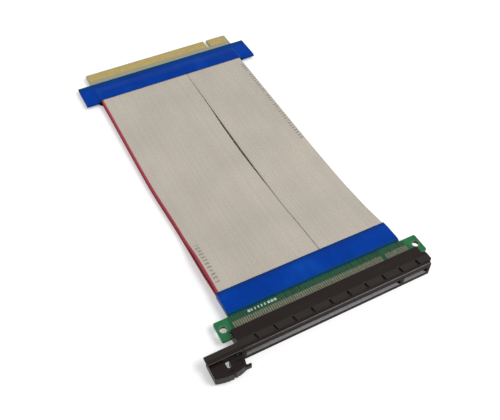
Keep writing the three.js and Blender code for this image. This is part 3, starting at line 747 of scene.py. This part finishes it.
def edge_film_ring(y, inset):
    upper_wide, upper_narrow = ROUTES["ribbon_upper_wide"], ROUTES["ribbon_upper_narrow"]
    ribbon_y = min(y, upper_wide.places[-1])
    left_edge = upper_wide.edges(ribbon_y)[0]
    right_edge = upper_narrow.edges(ribbon_y)[1]
    reach = FILM_OFFSET - inset
    left = EDGE_DRIFT - EDGE_BOARD_HALF - 0.1
    right = EDGE_DRIFT + EDGE_BOARD_HALF + 0.1
    hump = 2 * RIBBON_HALF + 0.05
    slope = 1 - smoothstep(163.4, 170.6, y)

    def over_ribbon(x):
        outside = max(left_edge - x, x - right_edge) - 0.1
        return hump * slope * (1 - smoothstep(0.0, 1.5, outside))

    def rib(x):
        inside = left_edge < x < right_edge
        return 0.035 * math.sin(math.pi * (x - left_edge)) ** 2 * slope if inside else 0.0

    past_board = 1 - smoothstep(EDGE_FILM_FRONT, EDGE_START - 0.1, y)
    pinch = (EDGE_BOARD_TOP - EDGE_BOARD_BOTTOM) / 2 * past_board

    def closing(x):
        outside = max(left_edge - x, x - right_edge) - 0.2
        return pinch * smoothstep(0.0, 2.5, outside)

    def top(x):
        level = EDGE_BOARD_TOP + reach + 0.03 + over_ribbon(x) - closing(x)
        return level + rib(x) + film_wrinkle(x, y, 9.2)

    def bottom(x):
        level = EDGE_BOARD_BOTTOM - reach - 0.03 - over_ribbon(x) + closing(x)
        return level + film_wrinkle(x, y, 13.9) * 0.5

    return sleeve_ring(y, left, right, reach, top, bottom, 210)


edge_places = np.linspace(EDGE_FILM_FRONT, EDGE_FILM_BACK, 44)
edge_film = film_shell("edge_film_sleeve", edge_film_ring, edge_places, FILM_THICKNESS, EDGE_FILM)
dress(edge_film, "cable", ["edge_wrap"])


# Slot housing: sections across the row, lofted along X


def half_section(kind, notch, rim_round):
    """Upper half of a section as (y, height above the middle), from the channel floor to the tail face."""
    mouth_edge = CHANNEL_HALF + LEAD_HEIGHT
    lip = (CELL_FRONT, CHANNEL_HALF)
    if kind == "closed":
        channel = [(MOUTH_Y, 0.0)] + [(MOUTH_Y, CHANNEL_HALF)] * 5
    elif kind == "rib":
        channel = [(CHANNEL_FLOOR, 0.0), (CHANNEL_FLOOR, CHANNEL_HALF), (CELL_BACK, CHANNEL_HALF)]
        channel += [(CELL_BACK, CHANNEL_HALF), lip, lip]
    else:
        channel = [(CHANNEL_FLOOR, 0.0), (CHANNEL_FLOOR, CHANNEL_HALF), (CELL_BACK, CHANNEL_HALF)]
        channel += [(CELL_BACK, CELL_HALF), (CELL_FRONT, CELL_HALF), lip]
    rim = [(MOUTH_Y, mouth_edge)]
    for turn in (0, 15, 30, 45, 60, 75, 90):
        a = math.radians(turn)
        drop, back = rim_round * (1 - math.sin(a)), rim_round * (1 - math.cos(a))
        rim.append((MOUTH_Y + back, RIM_HALF - drop))
    rim += [(RIM_BACK - 0.14, RIM_HALF), (RIM_BACK - 0.02, RIM_HALF - 0.06)]
    low = PANEL_HALF - PANEL_SLOPE
    if notch > 0:
        floor = PANEL_HALF - NOTCH_DEPTH
        end = low + PANEL_SLOPE * notch / (PANEL_CREASE - RIM_BACK)
        panel = [(RIM_BACK, low), (RIM_BACK, floor), (RIM_BACK + notch, floor), (RIM_BACK + notch, end)]
    else:
        panel = [(RIM_BACK, low)] * 4
    tail = [(PANEL_CREASE, PANEL_HALF)]
    tail += [(-0.3, PANEL_HALF), (-0.09, PANEL_HALF - 0.09), (0.0, PANEL_HALF - 0.3), (0.0, 0.0)]
    return channel + rim + panel + tail


def full_ring(x, kind, notch=0.0, shrink=0.0, boss=None):
    half = half_section(kind, notch, RIM_ROUND)
    under = half_section(kind, notch, LOWER_RIM_ROUND)
    centre = MOUTH_Y / 2
    spots = half + [(y, -h) for y, h in under[-2:0:-1]]
    ring = []
    for y, h in spots:
        y = centre + (y - centre) * (1 - shrink / -centre)
        h *= 1 - shrink / RIM_HALF
        if boss:
            front, back, reach = boss
            y = min(back, max(front, y))
            h = min(reach, max(-reach, h))
        ring.append((round(x, 4), round(y, 4), round(MID_Z + h, 4)))
    return ring


def housing_sections():
    """(x, kind, notch length) in order, with two entries at each step."""
    notch_centres = [1.2 + (i - 4.5) * 8.5 for i in range(10)]

    def notch_at(x):
        nearest = min(abs(x - c) for c in notch_centres)
        share = (NOTCH_MOUTH_HALF - nearest) / (NOTCH_MOUTH_HALF - NOTCH_TIP_HALF)
        return NOTCH_LENGTH * min(1.0, max(0.0, share))

    places = set()
    for c in notch_centres:
        offsets = (-NOTCH_MOUTH_HALF, -NOTCH_TIP_HALF, NOTCH_TIP_HALF, NOTCH_MOUTH_HALF)
        places.update(round(c + d, 3) for d in offsets)
    cells = sorted((round(x - CELL_WIDTH / 2, 3), round(x + CELL_WIDTH / 2, 3)) for x in CONTACTS)
    key_left, key_right = KEY_X - 0.875, KEY_X + 0.875
    walls = [(-HOUSING_HALF, -CHANNEL_END), (key_left, key_right), (CHANNEL_END, HOUSING_HALF)]

    def kind_at(x):
        if any(low < x < high for low, high in walls):
            return "closed"
        return "cell" if any(low < x < high for low, high in cells) else "rib"

    steps = {edge for cell in cells for edge in cell} | {-CHANNEL_END, key_left, key_right, CHANNEL_END}
    places |= steps
    places |= {-HOUSING_HALF + 0.35, HOUSING_HALF - 0.35}
    sections = []
    for x in sorted(places):
        before, after = kind_at(x - 1e-3), kind_at(x + 1e-3)
        sections.append((x, before, notch_at(x)))
        if before != after:
            sections.append((x, after, notch_at(x)))
    return sections


def loft_with_steps(rings):
    """Rings at rising X. Two rings at one X make a step, whose faces are flat."""
    index, points, faces = {}, [], []

    def vertex(spot):
        if spot not in index:
            index[spot] = len(points)
            points.append(spot)
        return index[spot]

    def add(spots):
        corner = []
        for spot in spots:
            i = vertex(spot)
            if not corner or corner[-1] != i:
                corner.append(i)
        if len(corner) > 1 and corner[0] == corner[-1]:
            corner.pop()
        if len(set(corner)) >= 3:
            faces.append(tuple(corner))

    size = len(rings[0])
    for near, far in zip(rings, rings[1:]):
        same = [a == b for a, b in zip(near, far)]
        if near[0][0] != far[0][0] or not any(same):
            for i in range(size):
                k = (i + 1) % size
                add([near[i], near[k], far[k], far[i]])
            continue
        start = same.index(True)
        order = [(start + i) % size for i in range(size + 1)]
        run = [order[0]]
        for i in order[1:]:
            run.append(i)
            if same[i]:
                if len(run) > 2:
                    add([near[j] for j in run] + [far[j] for j in reversed(run)])
                run = [i]
    add(reversed(rings[0]))
    add(rings[-1])
    return points, faces


def make_housing():
    radius = 0.35
    turns = [math.radians(a) for a in (0, 25, 50, 72, 90)]
    rings = []
    for t in reversed(turns):
        x = -HOUSING_HALF + radius * (1 - math.sin(t))
        rings.append(full_ring(x, "closed", 0.0, radius * (1 - math.cos(t))))
    inner = [section for section in housing_sections() if abs(section[0]) < HOUSING_HALF - radius - 1e-6]
    rings += [full_ring(*section) for section in inner]
    for t in turns:
        x = HOUSING_HALF - radius * (1 - math.sin(t))
        rings.append(full_ring(x, "closed", 0.0, radius * (1 - math.cos(t))))
    reach = 1.9
    for t in (0, 12, 25, 38, 50, 62, 74, 84):
        a = math.radians(t)
        x = HOUSING_HALF + reach * math.sin(a)
        inset = reach * (1 - math.cos(a))
        lift = 0.3 * max(0.0, (t - 50) / 34) ** 2
        rings.append(full_ring(x, "closed", 0.0, 0.0, (-9.0 + inset, -3.6 - inset, 3.15 - lift)))
    points, faces = loft_with_steps(rings)
    made = make_object("slot_housing_moulding", points, faces, [HOUSING_TOP, POLISHED, FRONT], 22.0)
    face_outwards(made)
    return made


def polish_edges(mesh):
    """The lead-ins of the mouth and the round front edge come off polished parts of the mould."""
    for face in mesh.polygons:
        x, y, z = (np.array(face.center) - ORIGIN) / MM
        height = z - MID_Z
        slopes = 0.15 < -face.normal.y < 0.97 and abs(face.normal.z) > 0.15
        lead_in = abs(height) < CHANNEL_HALF + LEAD_HEIGHT and y < CELL_FRONT + 0.02
        edge = height > RIM_HALF - RIM_ROUND and y < MOUTH_Y + RIM_ROUND
        front = face.normal.y < -0.97 and y < MOUTH_Y + 0.05
        face.material_index = 2 if front else int(slopes and (lead_in or edge))
        if slopes and lead_in:
            face.use_smooth = False


def ear_solid(name, outline, low, high, width=0.22):
    made = prism(name, outline, low, high, MOULDING)
    bevel(made, width, 2)
    graph = bpy.context.evaluated_depsgraph_get()
    bpy.context.view_layer.update()
    made.data = bpy.data.meshes.new_from_object(made.evaluated_get(graph))
    made.modifiers.clear()
    return made


housing = make_housing()
root = -HOUSING_HALF + 0.25
upper_outline = rectangle(EAR_TIP, root, EAR_FRONT, EAR_BACK)
upper_ear = ear_solid("upper_ear", upper_outline, UPPER_EAR_BOTTOM, UPPER_EAR_TOP)
tip = EAR_TIP + 0.7
lower_outline = [(root, LOWER_EAR_FRONT), (root, EAR_BACK), (tip, EAR_BACK), (tip, LOWER_EAR_FRONT)]
eye = arc(PIVOT_X, PIVOT_Y, 2.0, 210, 330, 10)
lower_ear = ear_solid("lower_ear", lower_outline + eye, 0.0, LOWER_EAR_TOP)
web = ear_solid("ear_web", rectangle(root - 2.05, root + 0.02, -8.5, -6.25), 0.3, 7.2)
cut_or_join(upper_ear, web, "UNION")
cut_or_join(upper_ear, lower_ear, "UNION")
drill = cylinder("drill", PIVOT_X, PIVOT_Y, PIVOT_HOLE_RADIUS, -0.5, 7.1, MOULDING)
cut_or_join(upper_ear, drill, "DIFFERENCE")
cut_or_join(housing, upper_ear, "UNION")
shade(housing.data, 22.0)
polish_edges(housing.data)
weigh_normals(housing)
dress(housing, "cable", ["slot_housing"])


# Contacts: springs in the cells of the channel, and solder tails on the board


def strip(path, half_width, half_thickness):
    """Flat metal strip along a path of (y, z), centred on X = 0, as (points, faces)."""
    rings = []
    for i, (y, z) in enumerate(path):
        before, after = path[max(0, i - 1)], path[min(len(path) - 1, i + 1)]
        dy, dz = after[0] - before[0], after[1] - before[1]
        length = math.hypot(dy, dz)
        ny, nz = -dz / length * half_thickness, dy / length * half_thickness
        taper = 0.7 if i in (0, len(path) - 1) else 1.0
        wide = half_width * taper
        under, over = (y - ny, z - nz), (y + ny, z + nz)
        rings.append([(-wide, *under), (wide, *under), (wide, *over), (-wide, *over)])
    return skin(rings)


def repeat(part, centres):
    points, faces = part
    return merge_parts([([(x + px, py, pz) for px, py, pz in points], faces) for x in centres])


def spring_path(side):
    stations = [
        (-9.2, 1.2), (-9.05, 1.0), (-8.8, 0.8), (-8.5, 0.6), (-8.2, 0.48), (-7.8, 0.44),
        (-7.4, 0.48), (-6.9, 0.62), (-6.3, 0.84), (-5.5, 1.16), (-4.8, 1.42), (-4.2, 1.55), (-3.95, 1.58),
    ]
    return [(y, MID_Z + side * h) for y, h in stations]


springs = merge_parts([repeat(strip(spring_path(side), 0.24, 0.09), CONTACTS) for side in (1, -1)])
spring_piece = make_object("contact_springs", *springs, [SPRING], 50.0)
face_outwards(spring_piece)
dress(spring_piece, "cable", ["slot_housing"])


def tail_path(side):
    surface = (SLOT_BOARD_TOP if side > 0 else SLOT_BOARD_BOTTOM) + side * 0.16
    stations = [(0.005, 0.32), (0.25, 0.3), (0.5, 0.2), (0.75, 0.07)]
    stations += [(1.0, 0.0), (2.3, 0.0), (3.4, 0.0), (3.62, 0.03)]
    return [(y, surface + side * h) for y, h in stations]


def solder_mound(side):
    """Low fillet under and around one tail."""
    surface = SLOT_BOARD_TOP if side > 0 else SLOT_BOARD_BOTTOM
    rings = []
    stations = [(0.55, 0.0), (0.75, 0.7), (1.2, 1.0), (2.3, 0.92), (3.3, 1.0), (3.85, 0.75), (4.1, 0.0)]
    for y, share in stations:
        half = 0.2 + 0.17 * share
        crest = 0.012 + 0.1 * share
        shoulder = (half * 0.7, crest * 0.7)
        profile = [(-half, 0.0), (-shoulder[0], shoulder[1]), (0.0, crest), shoulder, (half, 0.0)]
        rings.append([(x, y, surface + side * z) for x, z in profile])
    return skin(rings)


tails = merge_parts([repeat(strip(tail_path(side), 0.25, 0.05), CONTACTS) for side in (1, -1)])
tail_piece = make_object("contact_tails", *tails, [TIN], 40.0)
face_outwards(tail_piece)
dress(tail_piece, "cable", ["slot_housing"])
mounds = merge_parts([repeat(solder_mound(side), CONTACTS) for side in (1, -1)])
mound_piece = make_object("solder_fillets", *mounds, [SOLDER], 60.0)
face_outwards(mound_piece)
dress(mound_piece, "cable")


# Latch lever


def latch_outline():
    left = PIVOT_X - HUB_RADIUS - 1.3
    right = -HOUSING_HALF - LATCH_GAP
    inner = MOUTH_Y - LATCH_GAP
    outer = MOUTH_Y - LATCH_DEPTH + 0.55
    notch_right = right - FINGER_ARM
    notch_centre = notch_right - FINGER_RADIUS
    notch_floor = inner - FINGER_DEPTH + FINGER_RADIUS
    points = [(PIVOT_X - 1.0, PIVOT_Y + 1.55), (PIVOT_X - 2.0, PIVOT_Y + 1.15), (left + 0.3, PIVOT_Y + 0.3)]
    points += [(left, PIVOT_Y - 0.6), (left, inner), (left, outer + 0.3)]
    a, b, c = (left, outer), ((left + right) / 2, outer - 2.6), (right - 0.6, outer)
    for i in range(25):
        t = i / 24
        x = (1 - t) ** 2 * a[0] + 2 * t * (1 - t) * b[0] + t * t * c[0]
        y = (1 - t) ** 2 * a[1] + 2 * t * (1 - t) * b[1] + t * t * c[1]
        groove = {5: 0.14, 8: 0.14, 11: 0.14, 14: 0.55, 17: 0.14}.get(i, 0.0)
        points.append((x, y + groove))
    points += [(right, inner - 1.6), (right, inner), (notch_right, inner)]
    points += arc(notch_centre, notch_floor, FINGER_RADIUS, 0, -180, 18)
    points += [(notch_centre - FINGER_RADIUS, inner), (PIVOT_X + HUB_RADIUS, PIVOT_Y)]
    points += arc(PIVOT_X, PIVOT_Y, HUB_RADIUS, 8, 110, 10)
    return points


latch = prism("latch_lever", latch_outline(), LATCH_BOTTOM, LATCH_TOP, MOULDING)
hook_right = -HOUSING_HALF - LATCH_GAP
hook_outer = MOUTH_Y - LATCH_DEPTH
hook_outline = [
    (hook_right - 1.4, hook_outer + 0.12),
    (hook_right + 1.1, hook_outer),
    (hook_right + 1.42, hook_outer + 0.2),
    (hook_right + 1.5, hook_outer + 0.5),
    (hook_right + 1.5, hook_outer + 1.1),
    (hook_right + 0.2, hook_outer + 1.1),
    (hook_right - 1.4, hook_outer + 1.5),
]
cut_or_join(latch, prism("hook", hook_outline, MID_Z - 1.1, MID_Z + 1.1, MOULDING), "UNION")
pocket = [(-53.3, -15.3), (-50.2, -15.75), (-47.2, -15.25), (-46.2, -14.1)]
pocket += [(-46.2, -12.4), (-48.9, -12.4), (-50.3, -15.0)]
for low, high in ((LATCH_TOP - 0.45, LATCH_TOP + 0.5), (LATCH_BOTTOM - 0.5, LATCH_BOTTOM + 0.45)):
    cut_or_join(latch, prism("pocket", pocket, low, high, MOULDING), "DIFFERENCE")
trunnion = cylinder("trunnion", PIVOT_X, PIVOT_Y, TRUNNION_RADIUS, 0.15, 7.0, MOULDING, 28)
cut_or_join(latch, trunnion, "UNION")
bevel(latch, 0.16, 2)
shade(latch.data, 34.0)
dress(latch, "latch", ["slot_latch"])


# Boards


def make_slot_board():
    half, clear, corner = SLOT_BOARD_HALF, HOUSING_HALF + 0.3, 0.5
    front, back = SLOT_BOARD_FRONT, SLOT_BOARD_BACK
    outline = [(-half + corner, front), (-clear, front), (-clear, 0.3), (clear, 0.3), (clear, front)]
    outline += [(half - corner, front), (half, front + corner), (half, back - corner), (half - corner, back)]
    outline += [(TONGUE_RIGHT, back), (TONGUE_RIGHT, TONGUE_END)]
    outline += [(TONGUE_LEFT, TONGUE_END), (TONGUE_LEFT, back)]
    outline += [(-half + corner, back), (-half, back - corner), (-half, front + corner)]
    board = prism("slot_board_panel", outline, SLOT_BOARD_BOTTOM, SLOT_BOARD_TOP, SLOT_MASK)
    for side in (-1, 1):
        place = (side * SCREW_HOLE_X, SCREW_HOLE_Y)
        cut_or_join(board, cylinder("hole", *place, SCREW_HOLE_RADIUS, 2.0, 6.0, SLOT_MASK, 48), "DIFFERENCE")
    bevel(board, 0.06, 2)
    shade(board.data, 34.0)
    return dress(board, "cable", ["slot_board"])


def washer(x, y, inner, outer, low, high, sides=48):
    rings = []
    for radius, z in ((outer, low), (outer, high), (inner, high), (inner, low)):
        rings.append([(*spot, z) for spot in arc(x, y, radius, 0, 360 * (sides - 1) / sides, sides - 1)])
    return skin(rings + rings[:1], caps=False)


make_slot_board()
rings = []
for side in (-1, 1):
    for low in (SLOT_BOARD_TOP, SLOT_BOARD_BOTTOM - 0.03):
        rings.append(washer(side * SCREW_HOLE_X, SCREW_HOLE_Y, 1.52, 1.8, low, low + 0.03))
ring_piece = make_object("screw_hole_rings", *merge_parts(rings), [TIN], 40.0)
face_outwards(ring_piece)
dress(ring_piece, "cable")


def box_part(low, high):
    (x0, y0, z0), (x1, y1, z1) = low, high
    return skin([[(x, y, z) for x, z in rectangle(x0, x1, z0, z1)] for y in (y0, y1)])


tick_parts = []
for i in range(9):
    x = -34.0 + 1.5 * i
    wide = 1.1 if i in (0, 6, 7, 8) else 0.6
    tick_parts.append(box_part((x, 5.1, SLOT_BOARD_TOP), (x + wide, 6.2, SLOT_BOARD_TOP + 0.02)))
ticks = make_object("board_tick_marks", *merge_parts(tick_parts), [INK], 40.0)
face_outwards(ticks)
dress(ticks, "cable")


def make_edge_board():
    half, edge, notch = EDGE_BOARD_HALF, CARD_EDGE_HALF, 0.95
    floor = EDGE_TIP - 7.4 + notch
    outline = [(-half, EDGE_START), (half, EDGE_START), (half, EDGE_SHOULDER - 0.4)]
    outline += [(half - 0.4, EDGE_SHOULDER), (edge, EDGE_SHOULDER), (edge, EDGE_TIP - 1.0)]
    outline += [(edge - 1.0, EDGE_TIP), (KEY_X + notch, EDGE_TIP)]
    outline += arc(KEY_X, floor, notch, 0, -180, 14)
    outline += [(KEY_X - notch, EDGE_TIP), (-edge + 1.0, EDGE_TIP), (-edge, EDGE_TIP - 1.0)]
    outline += [(-edge, EDGE_SHOULDER), (-half + 0.4, EDGE_SHOULDER), (-half, EDGE_SHOULDER - 0.4)]
    outline = [(x + EDGE_DRIFT, y) for x, y in outline]
    board = prism("edge_board_panel", outline, EDGE_BOARD_BOTTOM, EDGE_BOARD_TOP, EDGE_MASK)
    wide = 60.0
    for side in (1, -1):
        surface = EDGE_BOARD_TOP if side > 0 else EDGE_BOARD_BOTTOM
        start, beyond = EDGE_TIP - 0.8, EDGE_TIP + 1.0
        wedge = [(start, surface), (beyond, surface - side * 0.7875)]
        wedge += [(beyond, surface + side), (start, surface + side)]
        cut_or_join(board, prism("bevel_wedge", wedge, -wide, wide, EDGE_MASK, "X"), "DIFFERENCE")
    bevel(board, 0.05, 2, 20.0)
    shade(board.data, 30.0)
    return dress(board, "cable", ["edge_board"])


def pad_part(side):
    """Gold finger with rounded ends and a softened top edge."""
    surface = EDGE_BOARD_TOP if side > 0 else EDGE_BOARD_BOTTOM
    back, front = EDGE_TIP - 0.9 - 5.6, EDGE_TIP - 0.9
    rings = []
    for inset, z in ((0.0, 0.0), (0.0, 0.028), (0.03, 0.05)):
        radius = 0.16 - inset / 2
        ring = []
        corners = ((1, front, 0), (-1, front, 90), (-1, back, 180), (1, back, 270))
        for sx, y, turn in corners:
            sy = 1 if y == front else -1
            centre = (sx * (0.35 - inset - radius), y - sy * (inset + radius))
            ring += [(*spot, surface + side * z) for spot in arc(*centre, radius, turn, turn + 90, 3)]
        rings.append(ring)
    return skin(rings)


make_edge_board()
pads = merge_parts([repeat(pad_part(side), [x + EDGE_DRIFT for x in CONTACTS]) for side in (1, -1)])
pad_piece = make_object("card_edge_pads", *pads, [GOLD], 40.0)
face_outwards(pad_piece)
dress(pad_piece, "cable", ["edge_board"])


# Floor, light and camera


def make_floor():
    mesh = bpy.data.meshes.new("floor")
    size, below = 4.0, -0.00005
    corners = [(x, y, below) for x, y in rectangle(-size, size, -size, size)]
    mesh.from_pydata(corners, [], [(0, 1, 2, 3)])
    floor = bpy.data.objects.new("floor", mesh)
    bpy.context.scene.collection.objects.link(floor)
    material, tree, shader = new_material("white_floor")
    shader.inputs["Base Color"].default_value = (0.86, 0.86, 0.86, 1.0)
    shader.inputs["Roughness"].default_value = 0.8
    shader.inputs["Specular IOR Level"].default_value = 0.1
    shader.inputs["Emission Color"].default_value = (1.0, 1.0, 1.0, 1.0)
    tree.links.new(math_node(tree, "MULTIPLY", seen_ray(tree), 0.33), shader.inputs["Emission Strength"])
    mesh.materials.append(material)
    floor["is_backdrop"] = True


def seen_ray(tree):
    """1 for rays that show the backdrop: to the camera, in a reflection or through glass."""
    path = tree.nodes.new("ShaderNodeLightPath")
    seen = math_node(tree, "MAXIMUM", path.outputs["Is Camera Ray"], path.outputs["Is Glossy Ray"])
    return math_node(tree, "MAXIMUM", seen, path.outputs["Is Transmission Ray"])


def make_world():
    world = bpy.data.worlds.new("studio")
    bpy.context.scene.world = world
    world.use_nodes = True
    tree = world.node_tree
    background = tree.nodes["Background"]
    background.inputs["Color"].default_value = (1.0, 1.0, 1.0, 1.0)
    made = tree.nodes.new("ShaderNodeMapRange")
    made.inputs["To Min"].default_value = 0.46
    made.inputs["To Max"].default_value = 1.0
    tree.links.new(seen_ray(tree), made.inputs["Value"])
    tree.links.new(made.outputs["Result"], background.inputs["Strength"])


def add_lamp(name, place, target, size, power):
    data = bpy.data.lights.new(name, "AREA")
    data.shape = "DISK"
    data.size = size
    data.energy = power
    lamp = bpy.data.objects.new(name, data)
    bpy.context.scene.collection.objects.link(lamp)
    lamp.location = place
    lamp.rotation_mode = "QUATERNION"
    lamp.rotation_quaternion = (Vector(target) - Vector(place)).to_track_quat("-Z", "Y")


def make_camera():
    azimuth, elevation, roll = math.radians(-27.67), math.radians(49.23), math.radians(0.23)
    distance, target = 0.30303, Vector((-0.00168, -0.02701, 0.0))
    level = math.cos(elevation)
    back = Vector((math.sin(azimuth) * level, -math.cos(azimuth) * level, math.sin(elevation)))
    right = (-back).cross(Vector((0, 0, 1))).normalized()
    up = right.cross(-back)
    turned_right = right * math.cos(roll) + up * math.sin(roll)
    turned_up = up * math.cos(roll) - right * math.sin(roll)
    data = bpy.data.cameras.new("camera")
    data.sensor_fit = "HORIZONTAL"
    data.sensor_width = 36.0
    data.lens = 47.17
    data.clip_start, data.clip_end = 0.01, 20.0
    camera = bpy.data.objects.new("camera", data)
    bpy.context.scene.collection.objects.link(camera)
    turn = Matrix((turned_right, turned_up, back)).transposed()
    camera.matrix_world = Matrix.Translation(target + back * distance) @ turn.to_4x4()
    bpy.context.scene.camera = camera


make_floor()
make_world()
# The key lamp stands to the right and in front. The small mouth lamp shows in the lead-in as its bright line.
add_lamp("key_lamp", (0.9, -0.84, 1.58), (0.0, 0.0, 0.0), 1.2, 20.0)
add_lamp("mouth_lamp", (0.31, -0.51, 0.841), (0.0, -0.0937, 0.003), 0.28, 1.0)
add_lamp("fill_lamp", (-0.5, 0.25, 0.5), (0.0, 0.0, 0.0), 0.5, 0.3)
make_camera()
bpy.context.scene.view_settings.view_transform = "Standard"

low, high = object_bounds()
sizes = {"cad": [list(cad_low), list(cad_high)], "visual": [list(low), list(high)]}
